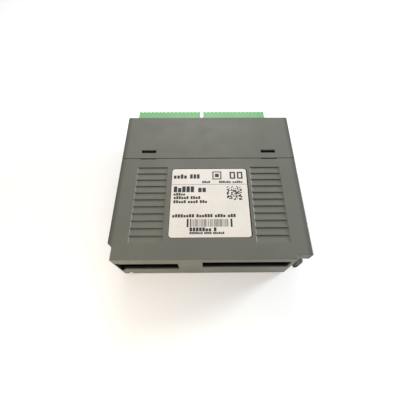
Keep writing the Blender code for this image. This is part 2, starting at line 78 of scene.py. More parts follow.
CASE_LOW, CASE_HIGH = node_box("main_case")
COVER_LOW, COVER_HIGH = node_box("front_cover")
HALF = COVER_HIGH.x
TOP = COVER_HIGH.z
SEAM_GAP = 0.15
WALL = 2.0
# Width, in millimetres, over which painted shade grows towards each narrow side.
SIDE_SHADE_WIDTH = 3.0


def depth(distance):
    """Row Y, in millimetres, of a distance from the rear face."""
    return CASE_LOW.y + distance


def grown(pair, margin):
    return (pair[0] - margin, pair[1] + margin)


def mirrored(pair):
    return (-pair[1], -pair[0])


def shifted(pair, by):
    return (pair[0] + by, pair[1] + by)


def middle_of(pair):
    return (pair[0] + pair[1]) / 2


def depths(low, high):
    return (depth(low), depth(high))


# ------------------------------------------------------------------ shapes

AXES = {"X": (1, 2, 0), "Y": (0, 2, 1), "Z": (0, 1, 2)}


def point_on(axis, a, b, c):
    """A point from its place (a, b) across an axis and its place c along it."""
    first, second, along = AXES[axis]
    point = Vector((0, 0, 0))
    point[first], point[second], point[along] = a, b, c
    return point * MM


def new_piece(name, bm):
    bmesh.ops.recalc_face_normals(bm, faces=bm.faces)
    mesh = bpy.data.meshes.new(name)
    bm.to_mesh(mesh)
    bm.free()
    obj = bpy.data.objects.new(name, mesh)
    bpy.context.scene.collection.objects.link(obj)
    return obj


def loft(name, axis, rings):
    """A closed solid through rings, each a list of (a, b) points and a place along the axis."""
    bm = bmesh.new()
    loops = [[bm.verts.new(point_on(axis, a, b, c)) for a, b in ring] for ring, c in rings]
    for lower, upper in zip(loops, loops[1:]):
        for i, vert in enumerate(lower):
            j = (i + 1) % len(lower)
            bm.faces.new((vert, lower[j], upper[j], upper[i]))
    bm.faces.new(loops[0])
    bm.faces.new(loops[-1])
    return new_piece(name, bm)


def prism(name, outline, span, axis="X"):
    return loft(name, axis, [(outline, span[0]), (outline, span[1])])


def rounded_rectangle(a, b, radius, steps=4):
    radius = max(radius, 0.005)
    corners = (
        (a[1] - radius, b[1] - radius, 0),
        (a[0] + radius, b[1] - radius, 90),
        (a[0] + radius, b[0] + radius, 180),
        (a[1] - radius, b[0] + radius, 270),
    )
    ring = []
    for ca, cb, start in corners:
        for step in range(steps + 1):
            angle = math.radians(start + 90 * step / steps)
            ring.append((ca + radius * math.cos(angle), cb + radius * math.sin(angle)))
    return ring


def quarter_round(radius, steps=3):
    """(inset, rise) of a rounded edge, from the end face to the side."""
    turns = [math.pi / 2 * step / steps for step in range(steps + 1)]
    return [(radius * (1 - math.sin(t)), radius * (1 - math.cos(t))) for t in turns]


def slab(name, x, y, z, corner=0.3, edge=0.3, axis="Z", steps=3):
    """A block with round corners about an axis and round edges at both of its ends."""
    spans = (x, y, z)
    first, second, along = AXES[axis]
    a, b, c = spans[first], spans[second], spans[along]
    low_edge, high_edge = edge if isinstance(edge, tuple) else (edge, edge)
    levels = [(inset, c[0] + rise) for inset, rise in quarter_round(low_edge, steps)]
    levels += [(inset, c[1] - rise) for inset, rise in reversed(quarter_round(high_edge, steps))]
    rings = [
        (rounded_rectangle(grown(a, -inset), grown(b, -inset), corner - inset, steps + 1), height)
        for inset, height in levels
    ]
    return loft(name, axis, rings)


def opening(name, x, y, z, lip=0.12, corner=0.25, axis="Z", surface="high"):
    """A cutter whose mouth widens, so that it leaves a rounded lip at the surface it enters."""
    spans = (x, y, z)
    first, second, along = AXES[axis]
    a, b, c = spans[first], spans[second], spans[along]
    sign = 1 if surface == "high" else -1
    start, end = (c[0], c[1]) if surface == "high" else (c[1], c[0])
    levels = [(0, start)] + [(g, end - sign * d) for g, d in reversed(quarter_round(lip))]
    levels.append((lip, end + sign))
    rings = [
        (rounded_rectangle(grown(a, g), grown(b, g), corner + g), height) for g, height in levels
    ]
    return loft(name, axis, rings)


def turned(name, profile, centre, axis="Z", sides=32):
    """A round solid about an axis, from (radius, height) points."""
    angles = [2 * math.pi * i / sides for i in range(sides)]
    rings = [
        ([(centre[0] + r * math.cos(t), centre[1] + r * math.sin(t)) for t in angles], height)
        for r, height in profile
    ]
    return loft(name, axis, rings)


def merge(name, pieces):
    """One object from several; the pieces are used up."""
    bm = bmesh.new()
    for piece in pieces:
        start = len(bm.verts)
        bm.from_mesh(piece.data)
        bm.verts.ensure_lookup_table()
        for vert in bm.verts[start:]:
            vert.co = piece.matrix_basis @ vert.co
        bpy.data.objects.remove(piece)
    return new_piece(name, bm)


def carve(target, tools, operation="DIFFERENCE"):
    tool = merge("tool", tools)
    mod = target.modifiers.new("carve", "BOOLEAN")
    mod.solver = "EXACT"
    mod.operation = operation
    mod.object = tool
    graph = bpy.context.evaluated_depsgraph_get()
    mesh = bpy.data.meshes.new_from_object(target.evaluated_get(graph))
    target.modifiers.clear()
    target.data = mesh
    bpy.data.objects.remove(tool)
    return target


def dress(obj, mat, body="housing", replaces=(), smooth_below=33):
    """Shading, material and place in the frame of a finished piece."""
    obj.data.shade_smooth()
    obj.data.set_sharp_from_angle(angle=math.radians(smooth_below))
    mod = obj.modifiers.new("flat_faces_stay_flat", "WEIGHTED_NORMAL")
    mod.keep_sharp = True
    obj.data.materials.clear()
    obj.data.materials.append(mat)
    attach(obj, body)
    if replaces:
        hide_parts(*replaces)
    return obj


# --------------------------------------------------------------- materials


class Recipe:
    """Builds a material's nodes; every texture is in the piece's own space."""

    def __init__(self, name, roughness=0.5, metallic=0.0):
        self.mat = bpy.data.materials.new(name)
        self.mat.use_nodes = True
        self.tree = self.mat.node_tree
        self.shader = self.tree.nodes["Principled BSDF"]
        self.shader.inputs["Roughness"].default_value = roughness
        self.shader.inputs["Metallic"].default_value = metallic
        self.place = self.node("ShaderNodeTexCoord").outputs["Object"]

    def node(self, kind, **values):
        node = self.tree.nodes.new(kind)
        for key, value in values.items():
            setattr(node, key, value)
        return node

    def link(self, source, target):
        self.tree.links.new(source, target)

    def noise(self, size_mm, detail=3.0, stretch=(1, 1, 1)):
        mapping = self.node("ShaderNodeMapping")
        mapping.inputs["Scale"].default_value = [s / (size_mm * MM) for s in stretch]
        self.link(self.place, mapping.inputs["Vector"])
        noise = self.node("ShaderNodeTexNoise")
        noise.inputs["Scale"].default_value = 1.0
        noise.inputs["Detail"].default_value = detail
        self.link(mapping.outputs["Vector"], noise.inputs["Vector"])
        return noise.outputs["Fac"]

    def spread(self, value, low, high, start=0.3, end=0.7):
        span = self.node("ShaderNodeMapRange")
        self.link(value, span.inputs["Value"])
        limits = (("From Min", start), ("From Max", end), ("To Min", low), ("To Max", high))
        for key, number in limits:
            span.inputs[key].default_value = number
        return span.outputs["Result"]

    def blend(self, factor, first, second, mode="MIX"):
        mix = self.node("ShaderNodeMix", data_type="RGBA", blend_type=mode)
        self.link(factor, mix.inputs["Factor"])
        for value, socket in ((first, mix.inputs["A"]), (second, mix.inputs["B"])):
            if isinstance(value, tuple):
                socket.default_value = (*value, 1.0)
            else:
                self.link(value, socket)
        return mix.outputs["Result"]

    def edges(self, width_mm):
        """0 on flats, 1 where the surface turns within the width."""
        bevel = self.node("ShaderNodeBevel", samples=4)
        bevel.inputs["Radius"].default_value = width_mm * MM
        plain = self.node("ShaderNodeNewGeometry").outputs["Normal"]
        dot = self.node("ShaderNodeVectorMath", operation="DOT_PRODUCT")
        self.link(bevel.outputs["Normal"], dot.inputs[0])
        self.link(plain, dot.inputs[1])
        return self.spread(dot.outputs["Value"], 1.0, 0.0, 0.9, 0.999)

    def side_shade_mask(self):
        """Mask of the painted shade: 0 on the broad sides, rising to 1 as they meet the two narrow
        sides.
        """
        split = self.node("ShaderNodeSeparateXYZ")
        self.link(self.place, split.inputs["Vector"])
        size = self.node("ShaderNodeMath", operation="ABSOLUTE")
        self.link(split.outputs["X"], size.inputs[0])
        return self.spread(size.outputs["Value"], 0, 1, (HALF - SIDE_SHADE_WIDTH) * MM, HALF * MM)

    def bump(self, height, strength, distance_mm):
        bump = self.node("ShaderNodeBump")
        bump.inputs["Strength"].default_value = strength
        bump.inputs["Distance"].default_value = distance_mm * MM
        self.link(height, bump.inputs["Height"])
        self.link(bump.outputs["Normal"], self.shader.inputs["Normal"])

    def colour(self, value):
        self.link(value, self.shader.inputs["Base Color"])

    def roughness(self, value):
        self.link(value, self.shader.inputs["Roughness"])


def shade(colour, factor):
    return tuple(min(1.0, c * factor) for c in colour)


def moulded(
    name, colour, grain_mm=0.35, grain=0.25, variation=0.06, wear=0.12, rough=(0.48, 0.6), sides=1.0
):
    """Injection-moulded plastic: spark-eroded grain, faint flow marks and rubbed edges. A sides
    value below 1 paints shade towards the two narrow sides.
    """
    recipe = Recipe(name)
    cloud = recipe.spread(recipe.noise(22, 4), 0, 1)
    tone = recipe.blend(cloud, shade(colour, 1 - variation), shade(colour, 1 + variation))
    speck = recipe.spread(recipe.noise(grain_mm * 1.6, 2), 0, 0.35, 0.45, 0.75)
    tone = recipe.blend(speck, tone, shade(colour, 0.86))
    if wear:
        rubbed = recipe.node("ShaderNodeMath", operation="MULTIPLY")
        recipe.link(recipe.edges(0.35), rubbed.inputs[0])
        recipe.link(recipe.spread(recipe.noise(3.5, 4), 0, 1, 0.42, 0.7), rubbed.inputs[1])
        tone = recipe.blend(rubbed.outputs["Value"], tone, shade(colour, 1 + 4 * wear))
    # Painted shade: the colour falls to sides times itself towards the two narrow sides.
    if sides < 1:
        tone = recipe.blend(recipe.side_shade_mask(), tone, shade(colour, sides))
    recipe.colour(tone)
    recipe.roughness(recipe.spread(recipe.noise(9, 3), *rough))
    recipe.bump(recipe.noise(grain_mm, 3), grain, 0.03)
    return recipe.mat


def metal(name, colour, rough=(0.2, 0.38), brushed=(1, 1, 1)):
    recipe = Recipe(name, metallic=1.0)
    tone = recipe.spread(recipe.noise(2.5, 4), 0, 1)
    recipe.colour(recipe.blend(tone, shade(colour, 0.8), shade(colour, 1.1)))
    recipe.roughness(recipe.spread(recipe.noise(0.6, 4, brushed), *rough))
    recipe.bump(recipe.noise(0.25, 2, brushed), 0.15, 0.01)
    return recipe.mat


def film(name, colour):
    """Cream polyester sticker with faint mottling and flecks."""
    recipe = Recipe(name)
    cloud = recipe.spread(recipe.noise(14, 3), 0, 1)
    tone = recipe.blend(cloud, shade(colour, 0.94), shade(colour, 1.03))
    fleck = recipe.spread(recipe.noise(0.7, 2), 0, 0.6, 0.5, 0.8)
    tone = recipe.blend(fleck, tone, shade(colour, 0.86))
    recipe.colour(tone)
    recipe.roughness(recipe.spread(recipe.noise(5, 3), 0.38, 0.5))
    recipe.bump(recipe.noise(1.2, 2), 0.08, 0.02)
    return recipe.mat


TRACK_PITCH = 3.2


def laminate(name, colour):
    """Solder resist over copper tracks, which show as lighter lines."""
    recipe = Recipe(name)
    brick = recipe.node("ShaderNodeTexBrick")
    mapping = recipe.node("ShaderNodeMapping")
    mapping.inputs["Scale"].default_value = (1 / (TRACK_PITCH * MM),) * 3
    recipe.link(recipe.place, mapping.inputs["Vector"])
    recipe.link(mapping.outputs["Vector"], brick.inputs["Vector"])
    brick.inputs["Color1"].default_value = (*shade(colour, 0.9), 1)
    brick.inputs["Color2"].default_value = (*shade(colour, 1.15), 1)
    brick.inputs["Mortar"].default_value = (*shade(colour, 2.2), 1)
    brick.inputs["Scale"].default_value = 1.0
    brick.inputs["Mortar Size"].default_value = 0.03
    recipe.colour(brick.outputs["Color"])
    recipe.roughness(recipe.spread(recipe.noise(6, 3), 0.25, 0.4))
    recipe.bump(recipe.noise(0.5, 2), 0.1, 0.02)
    return recipe.mat


def clear(name, tint):
    recipe = Recipe(name, roughness=0.08)
    recipe.shader.inputs["Transmission Weight"].default_value = 1.0
    recipe.shader.inputs["IOR"].default_value = 1.4
    haze = recipe.spread(recipe.noise(4, 3), 0, 1)
    recipe.colour(recipe.blend(haze, tint, shade(tint, 0.93)))
    recipe.roughness(recipe.spread(recipe.noise(2, 3), 0.02, 0.08))
    return recipe.mat


HOUSING = (0.1415, 0.1415, 0.1135)
GREEN = (0.175, 0.468, 0.181)
MATS = {
    # Painted shade darkens the housing towards its narrow sides (sides=0.4).
    "housing": moulded("housing_plastic", HOUSING, sides=0.4),
    # Painted shade: near-black colour for inner faces, standing in for the dark seen through the
    # openings.
    "inside": moulded("unlit_inner_finish", (0.012, 0.012, 0.011), wear=0),
    "lever": moulded("lever_plastic", (0.15, 0.148, 0.125)),
    "green": moulded(
        "connector_plastic", GREEN, grain=0.12, variation=0.04, wear=0.05, rough=(0.36, 0.46)
    ),
    "black": moulded("black_plastic", (0.022, 0.022, 0.022), grain=0.2, wear=0.05),
    "moulded": moulded("module_plastic", (0.035, 0.035, 0.04), wear=0),
    "label": film("label_film", (0.84, 0.775, 0.70)),
    "ink": moulded("printing_ink", (0.02, 0.02, 0.022), grain=0.05, wear=0, rough=(0.5, 0.6)),
    "grey_ink": moulded("grey_ink", (0.12, 0.115, 0.11), grain=0.05, wear=0, rough=(0.5, 0.6)),
    "white_ink": moulded("white_ink", (0.7, 0.7, 0.68), grain=0.05, wear=0, rough=(0.5, 0.6)),
    "tape": moulded("winding_tape", (0.62, 0.42, 0.06), grain=0.1, wear=0, rough=(0.3, 0.4)),
    "steel": metal("tinned_steel", (0.66, 0.65, 0.62)),
    "gold": metal("contact_gold", (0.83, 0.6, 0.26), (0.15, 0.3)),
    "can": metal("drawn_can", (0.72, 0.72, 0.73), (0.22, 0.36), (1, 1, 0.1)),
    "board": laminate("board_laminate", (0.015, 0.11, 0.045)),
    "clear": clear("clear_plastic", (0.9, 0.93, 0.92)),
    "led_run": moulded("led_green", (0.12, 0.55, 0.16), wear=0, rough=(0.2, 0.3)),
    "led_error": moulded("led_red", (0.62, 0.05, 0.04), wear=0, rough=(0.2, 0.3)),
    "led_alarm": moulded("led_amber", (0.75, 0.33, 0.03), wear=0, rough=(0.2, 0.3)),
}

for subpart in frame["record"]["subparts"]:
    obj = frame["nodes"][subpart["node"]]
    obj.data.materials.clear()
    obj.data.materials.append(MATS[subpart["material_slot"]])

# ---------------------------------------------------------------- housing

SEAM = COVER_LOW.y - SEAM_GAP
LOUVRE_COUNT = 11
LOUVRE_PITCH = 4.03
LOUVRE_FIRST = 52.4
LOUVRE_X = (22.6, 39.2)
LOUVRE_CUT = 0.62
SNAP_X = (30.0, 38.3)
SNAP_WINDOW = (62.3, 64.5)
REAR_X = (-46.9, 41.7)
POCKET_Z = (6.6, 20.4)
POCKET_DEPTH = 31
LOW_END_SLOPE = 1.1
HIGH_END_SLOPE = 0.8
# Faces deeper than this inside the case and the cover get the painted inner shade.
SKIN = 0.65
LABEL_SHIFT = 0.25
PIVOT = (45.2, depth(26.0))


def louvre_tools(far_side):
    """Each louvre is a ramp down to a step, with the air gap tucked under the step."""
    surface = TOP if far_side else 0.0
    inward = -1 if far_side else 1
    # Faces of the air gap lying deeper than SKIN get the painted inner shade.
    tools = []
    for index in range(LOUVRE_COUNT):
        step = LOUVRE_FIRST - index * LOUVRE_PITCH
        flat = [
            (step + 0.06, -0.6),
            (step + 0.06, 0),
            (step, 0.06),
            (step, LOUVRE_CUT - 0.2),
            (step + 0.6, LOUVRE_CUT - 0.2),
            (step + 0.6, WALL + 0.6),
            (step + 0.05, WALL + 0.6),
            (step + 0.05, LOUVRE_CUT + 0.02),
            (step - 0.1, LOUVRE_CUT),
            (step - LOUVRE_PITCH + 0.75, 0.25),
            (step - LOUVRE_PITCH + 0.2, 0),
            (step - LOUVRE_PITCH + 0.2, -0.6),
        ]
        outline = [(depth(y), surface + inward * z) for y, z in flat]
        for span in (LOUVRE_X, mirrored(LOUVRE_X)):
            tool = prism("louvre", outline, span)
            for vert in tool.data.vertices:
                below = (vert.co.z / MM - surface) * inward
                at_low_end = abs(vert.co.x / MM - span[0]) < 0.01
                slope = LOW_END_SLOPE if at_low_end else -HIGH_END_SLOPE
                vert.co.x += slope * below * MM
            tools.append(tool)
    return tools


def snap_tongue(span, far_side):
    """A tongue of the case that reaches under the cover, with its catch in the snap window."""
    surface = TOP if far_side else 0.0
    inward = -1 if far_side else 1
    flat = [
        (53.2, 1.8), (53.2, 4.0), (65.6, 4.0), (65.6, 3.2), (64.2, 2.6), (64.2, 1.5),
        (63.9, 1.25), (62.9, 1.25), (62.6, 1.5), (62.6, 2.4), (57.0, 2.4), (56.0, 1.8),
    ]
    # The catch lies deeper than SKIN, so it gets the painted inner shade.
    outline = [(depth(y), surface + inward * z) for y, z in flat]
    return prism("tongue", outline, grown(span, -0.3))


def case_block():
    """The outside of the case: a body that widens at its shoulder, and the latch side's flange."""
    rear_left, rear_right = REAR_X
    end = SEAM - SEAM_GAP - CASE_LOW.y
    steps = [(inset, rise, rear_left) for inset, rise in quarter_round(0.35)]
    steps += [(0, 6.3, rear_left), (0, 6.6, -46.95), (0, 8.4, -48.9), (0, 8.7, -HALF)]
    steps += [(inset, end - rise, -HALF) for inset, rise in reversed(quarter_round(0.2))]
    rings = []
    for inset, y, left in steps:
        a, b = (left + inset, rear_right - inset), (inset, TOP - inset)
        rings.append((rounded_rectangle(a, b, 0.8 - inset), depth(y)))
    body = loft("case_shell", "Y", rings)
    flange = slab("flange", (20.0, HALF), depths(2.0, end), (0, TOP), 0.8, (0.35, 0.2), "Y")
    return carve(body, [flange], "UNION")


def paint_inner_shade(obj, sheltered):
    """The inner faces get painted shade: a near-black colour, as dark as they look through the
    openings.
    """
    obj.data.materials.append(MATS["inside"])
    for face in obj.data.polygons:
        centre = obj.matrix_world @ face.center / MM
        if SKIN < centre.z < TOP - SKIN and sheltered(centre):
            face.material_index = 1


def hollow_case(case):
    """The room inside, and the latch pocket with its open corner."""
    inner_z = (WALL, TOP - WALL)
    carve(case, [slab("hollow", (-46.2, 39.5), depths(WALL, 62), inner_z, 0.5, 0.1, "Z")])
    carve(case, [slab("hollow", (39.0, HALF - WALL), depths(33, 62), inner_z, 0.5, 0.1, "Z")])
    pocket_x = (41.5, HALF + 1)
    carve(case, [slab("pocket", pocket_x, depths(-1, POCKET_DEPTH), POCKET_Z, 0.3, 0.1, "Y")])
    carve(case, [slab("under", pocket_x, depths(-1, 8), (-1, POCKET_Z[0] + 1), 0.1, 0.1, "Y")])


def cut_rear_slots(case):
    """The guide slot with its lead-in and the connector slot, in a wall thinned around both."""
    lead_in = [
        (-46.1, 7.4), (-43.8, 9.8), (-15.6, 9.8), (-15.6, 20.0), (-43.8, 20.0), (-46.1, 21.2),
    ]
    carve(case, [
        slab("relief", (-46.2, -15.0), depths(0.7, 3), (8.6, 21.3), 0.2, 0.05, "Y"),
        slab("relief", (-4.0, 40.3), depths(0.7, 3), (11.3, 23.5), 0.2, 0.05, "Y"),
    ])
    carve(case, [
        prism("guide_slot", lead_in, depths(-1, 3), "Y"),
        opening("connector_slot", (-3.5, 40.0), depths(0, 3), (12.5, 22.0), 0.15, 0.3, "Y", "low"),
    ])
    carve(case, [slab("notch", (-44.5, -42.0), depths(-1, 1.2), (-1, 3.0), 0.1, 0.05)])


def cut_label_recess(case):
    """The label's recess, the roots of the snap tongues and the gap beside the label."""
    recess_x = (LABEL_SHIFT - 20.6, LABEL_SHIFT + 20.75)
    recess = opening("recess", recess_x, depths(10.7, 51.4), (TOP - 0.5, TOP), 0.2, 1.8)
    # The gap's walls and floor lie deeper than SKIN, so the painted inner shade shows them as a
    # dark line beside the label.
    gap_x = (LABEL_SHIFT + 20.2, recess_x[1])
    gap = slab("gap", gap_x, depths(12.2, 49.9), (TOP - 1.3, TOP - 0.3), 0.1, 0.05)
    roots = [
        slab("root", span, (SEAM - 0.75, SEAM + 1), z, 0.1, 0.05)
        for span in (grown(SNAP_X, 0.4), grown(mirrored(SNAP_X), 0.4))
        for z in ((TOP - 0.5, TOP + 1), (-1, 0.5))
    ]
    carve(case, [recess] + roots)
    carve(case, [gap])


def side_vents():
    vents = []
    for span, surface in (((HALF - 3, HALF), "high"), ((-HALF, -HALF + 3), "low")):
        for index in range(5):
            y = depths(36.0 + 4 * index, 37.4 + 4 * index)
            vents.append(opening("vent", span, y, (5.5, 17.5), 0.2, 0.6, "X", surface))
    return vents


def tongues_and_rails():
    tongues = [
        snap_tongue(span, far) for span in (SNAP_X, mirrored(SNAP_X)) for far in (True, False)
    ]
    rails = [
        slab("rail", span, depths(start, 55), (low, low + 1.2), 0.2, 0.1, "Y")
        for span, start in (((-47.2, -45.4), 12), ((45.4, 47.2), 35))
        for low in (4.5, 7.9, 17.1, 20.5)
    ]
    return tongues + rails


def make_case():
    case = case_block()
    hollow_case(case)
    cut_rear_slots(case)
    carve(case, louvre_tools(True) + louvre_tools(False))
    cut_label_recess(case)
    carve(case, side_vents())
    carve(case, tongues_and_rails(), "UNION")
    carve(case, [turned("bore", [(1.15, 3.5), (1.15, 23.5)], PIVOT, "Z", 24)])
    dress(case, MATS["housing"], replaces=["main_case"])

    # Mask of the painted inner shade: faces behind the rear skin, away from the latch pocket.
    def sheltered(centre):
        within = centre.y > depth(SKIN) and -46.4 < centre.x < HALF - SKIN
        in_pocket = centre.x > 41.4 and centre.y < depth(31.2)
        return within and not in_pocket

    paint_inner_shade(case, sheltered)


def make_cover():
    y = (COVER_LOW.y, COVER_HIGH.y)
    cover = slab("cover_shell", (-HALF, HALF), y, (0, TOP), 0.8, (0.2, 0.5), "Y", 4)
    inner_x = (-HALF + WALL, HALF - WALL)
    hollow = slab("hollow", inner_x, (y[0] - 1, y[1] - WALL), (WALL, TOP - WALL), 0.5, 0.1, "Y")
    carve(cover, [hollow])
    plugs_x = (node_spans("terminal_plug_lower")[0][0], node_spans("terminal_plug_upper")[0][1])
    opening_z = grown(node_spans("header_lower")[2], 0.6)
    front = (y[1] - 4, y[1])
    cuts = [
        opening("plug_opening", grown(plugs_x, 0.9), front, opening_z, 0.3, 0.4, "Y"),
        opening("window_opening", (39.6, 46.6), front, (4.4, 22.6), 0.25, 0.5, "Y"),
    ]
    reliefs = []
    for span in (SNAP_X, mirrored(SNAP_X)):
        room = (grown(span, 0.6), depths(*grown(SNAP_WINDOW, 0.6)))
        cuts.append(opening("snap", span, depths(*SNAP_WINDOW), (TOP - 3, TOP), 0.1, 0.2))
        cuts.append(opening("snap", span, depths(*SNAP_WINDOW), (0, 3), 0.1, 0.2, surface="low"))
        reliefs.append(slab("relief", *room, (TOP - 3, TOP - 0.9), 0.2, 0.05))
        reliefs.append(slab("relief", *room, (0.9, 3), 0.2, 0.05))
    carve(cover, reliefs)
    carve(cover, cuts)
    dress(cover, MATS["housing"], replaces=["front_cover"])
    # Painted shade on the cover's inner faces.
    paint_inner_shade(cover, lambda centre: abs(centre.x) < HALF - SKIN and centre.y < y[1] - SKIN)


make_case()
make_cover()

# ------------------------------------------------------------ rating label

LABEL_TOP = node_box("rating_label")[1].z
INK_HEIGHT = 0.015


def ink_piece(name, marks, mat):
    """Printed marks, each (x span, depth span), as one thin layer on the label."""
    layer = (LABEL_TOP - 0.01, LABEL_TOP + INK_HEIGHT)
    bars = [
        slab("mark", shifted(x, LABEL_SHIFT), depths(*y), layer, 0.03, 0.003, steps=1)
        for x, y in marks
    ]
    dress(merge(name, bars), mat)


def text_marks(x, y, seed=1, cell=0.62, gap=0.16):
    """A line of blank word shapes: solid cells of uneven height, grouped in words."""
    rng = random.Random(seed)
    height = y[1] - y[0]
    wide, between = cell * height, gap * height
    marks, at = [], x[0]
    while at + wide < x[1]:
        for _ in range(rng.randint(4, 9)):
            if at + wide > x[1]:
                break
            top = y[0] + height * rng.choice((0.74, 1.0, 1.0))
            marks.append(((at, at + wide), (y[0], top)))
            at += wide + between
        at += 0.5 * height
    return marks


def code_marks(x, y, cells=14, seed=5):
    """A square field of random cells, which encodes nothing."""
    rng = random.Random(seed)
    wide, tall = (x[1] - x[0]) / cells, (y[1] - y[0]) / cells
    marks = []
    for row in range(cells):
        for column in range(cells):
            if rng.random() < 0.52:
                left, low = x[0] + column * wide, y[0] + row * tall
                marks.append(((left, left + wide * 0.97), (low, low + tall * 0.97)))
    return marks


def bar_marks(x, y, seed=9):
    """Upright bars of random width, which encode nothing."""
    rng = random.Random(seed)
    marks, at = [], x[0]
    while at < x[1] - 0.6:
        width = rng.choice((0.2, 0.3, 0.45))
        marks.append(((at, at + width), y))
        at += width + rng.choice((0.25, 0.35, 0.55))
    return marks


def frame_marks(x, y, line):
    """A rectangular frame; its uprights stop just short of its other two bars."""
    upright = (y[0] + line + 0.02, y[1] - line - 0.02)
    return [
        (x, (y[0], y[0] + line)),
        (x, (y[1] - line, y[1])),
        ((x[0], x[0] + line), upright),
        ((x[1] - line, x[1]), upright),
    ]


def make_label():
    x, y, z = node_spans("rating_label")
    sticker = slab("label_film", shifted(x, LABEL_SHIFT), y, z, 1.5, 0.05, steps=4)
    dress(sticker, MATS["label"], replaces=["rating_label"])
    dark = text_marks((-19.2, -3.6), (44.8, 47.6), 2, 0.5, 0.16)
    dark += frame_marks((1.7, 6.6), (44.2, 49.4), 0.6) + [((3.1, 5.2), (45.7, 47.9))]
    dark += frame_marks((11.1, 14.1), (44.6, 49.1), 0.8)
    dark += frame_marks((15.1, 18.1), (44.6, 49.1), 0.8)
    dark += text_marks((-3.8, 0.4), (41.9, 43.3), 3)
    dark += text_marks((5.2, 17.9), (41.9, 43.3), 13)
    dark += text_marks((-18.9, 0.1), (36.3, 39.9), 4, 0.5, 0.12)
    dark += text_marks((-18.8, -12.0), (34.3, 35.9), 6)
    dark += text_marks((-18.7, -4.6), (32.2, 33.9), 7)
    dark += text_marks((-18.7, -1.0), (29.8, 31.5), 8)
    dark += code_marks((9.1, 17.1), (31.5, 40.0))
    dark += text_marks((-18.9, 14.1), (21.7, 23.5), 10)
    dark += [(x, (16.4, 20.9)) for x in ((-11.5, -10.6), (-9.9, -9.4), (10.3, 11.2))]
    dark += text_marks((-10.0, 4.0), (14.2, 16.2), 11)
    dark += text_marks((-10.0, 7.7), (12.7, 13.9), 12)
    ink_piece("label_print", dark, MATS["ink"])
    pale = bar_marks((-9.0, 9.9), (16.6, 20.7)) + [((-20.1, 20.1), (41.0, 41.2))]
    ink_piece("label_bars", pale, MATS["grey_ink"])


make_label()

# ---------------------------------------------------------- copies and lever

PLUG_X, _, PLUG_Z = node_spans("terminal_plug_lower")
UPPER_SHIFT = node_spans("terminal_plug_upper")[0][0] - PLUG_X[0]
POLE_COUNT = 15
POLE_PITCH = 2.54
POLE_X = [
    middle_of(PLUG_X) + (i - (POLE_COUNT - 1) / 2) * POLE_PITCH for i in range(POLE_COUNT)
]


def copies(name, piece, places):
    """One object made of a piece, built at the origin, at each (x, y, z) place."""
    pieces = []
    for place in places:
        copy = piece.copy()
        copy.location = Vector(place) * MM
        pieces.append(copy)
    obj = merge(name, pieces)
    bpy.data.objects.remove(piece)
    return obj


def both_sides(name, piece, mat, bodies=("housing", "housing"), replaces=()):
    """Dress a lower piece and add the same one at the upper plug's place."""
    upper = piece.copy()
    bpy.context.scene.collection.objects.link(upper)
    upper.name = f"{name}_upper"
    piece.name = f"{name}_lower"
    upper.location.x += UPPER_SHIFT * MM
    bpy.context.view_layer.update()
    for obj, which, body in ((piece, "lower", bodies[0]), (upper, "upper", bodies[1])):
        nodes = [f"{node}_{which}" for node in replaces]
        dress(obj, mat, body, nodes)


HOLLOW_X = 45.1
HOLLOW_Z = (10.0, 15.2)
SPRING_WIRE = 0.17
SPRING_COILS = 6


def make_lever():
    """A ribbed pad on a boss, with an arm that ends in the hook beside the rear face."""
    arm = [
        (43.9, 25.0), (43.9, 10.5), (43.6, 9.5), (43.6, 1.0), (43.75, 0.55), (44.2, 0.3),
        (45.5, 0.3), (46.2, 0.7), (46.8, 1.7), (46.7, 2.6), (46.2, 3.0), (45.4, 3.3),
        (45.1, 4.0), (45.1, 9.0), (45.6, 9.9), (46.8, 10.6), (47.0, 25.0),
    ]
    wedge = [(45.6, 10.5), (46.9, 10.5), (46.9, 13.5)]
    lever = slab("lever_shell", (46.6, 48.7), depths(9.5, 28.0), (7.0, 20.0), 0.6, 0.45)
    boss = turned("boss", [(2.0, 7.1), (2.3, 7.4), (2.3, 19.6), (2.0, 19.9)], PIVOT)
    hook = prism("hook", [(x, depth(y)) for x, y in arm], (9.7, 17.3), "Z")
    gusset = prism("gusset", [(x, depth(y)) for x, y in wedge], (7.6, 19.4), "Z")
    for piece in (boss, hook, gusset):
        carve(lever, [piece], "UNION")
    ribs = []
    for index in range(7):
        y = depths(10.6 + 1.5 * index, 11.3 + 1.5 * index)
        ribs.append(slab("rib", (48.3, 48.95), y, (8.4, 18.6), 0.3, 0.25, "X"))
    carve(lever, ribs, "UNION")
    spring_seat = turned("seat", [(1.75, 40.0), (1.75, 47.4)], (depth(14.0), 13.5), "X", 24)
    hollow = slab("hollow", (42.9, HOLLOW_X), depths(-0.4, 0.8), HOLLOW_Z, 0.2, 0.1)
    bore = turned("bore", [(1.3, 6), (1.3, 21)], PIVOT, "Z", 24)
    carve(lever, [spring_seat, hollow, bore])
    dress(lever, MATS["lever"], "lever", ["release_lever"])
    # Painted shade: the faces of the hollow in the hook get the near-black inner colour.
    lever.data.materials.append(MATS["inside"])
    for face in lever.data.polygons:
        x, y, z = face.center / MM
        if x < HOLLOW_X + 0.02 and y < depth(0.9) and HOLLOW_Z[0] + 0.1 < z < HOLLOW_Z[1] - 0.1:
            face.material_index = 1


def make_pin():
    _, _, (low, high) = node_spans("lever_pin")
    profile = [(0.02, low), (0.75, low), (1.0, low + 0.3)]
    profile += [(1.0, high - 0.3), (0.75, high), (0.02, high)]
    pin = turned("hinge_pin", profile, PIVOT, "Z", 24)
    dress(pin, MATS["steel"], replaces=["lever_pin"])


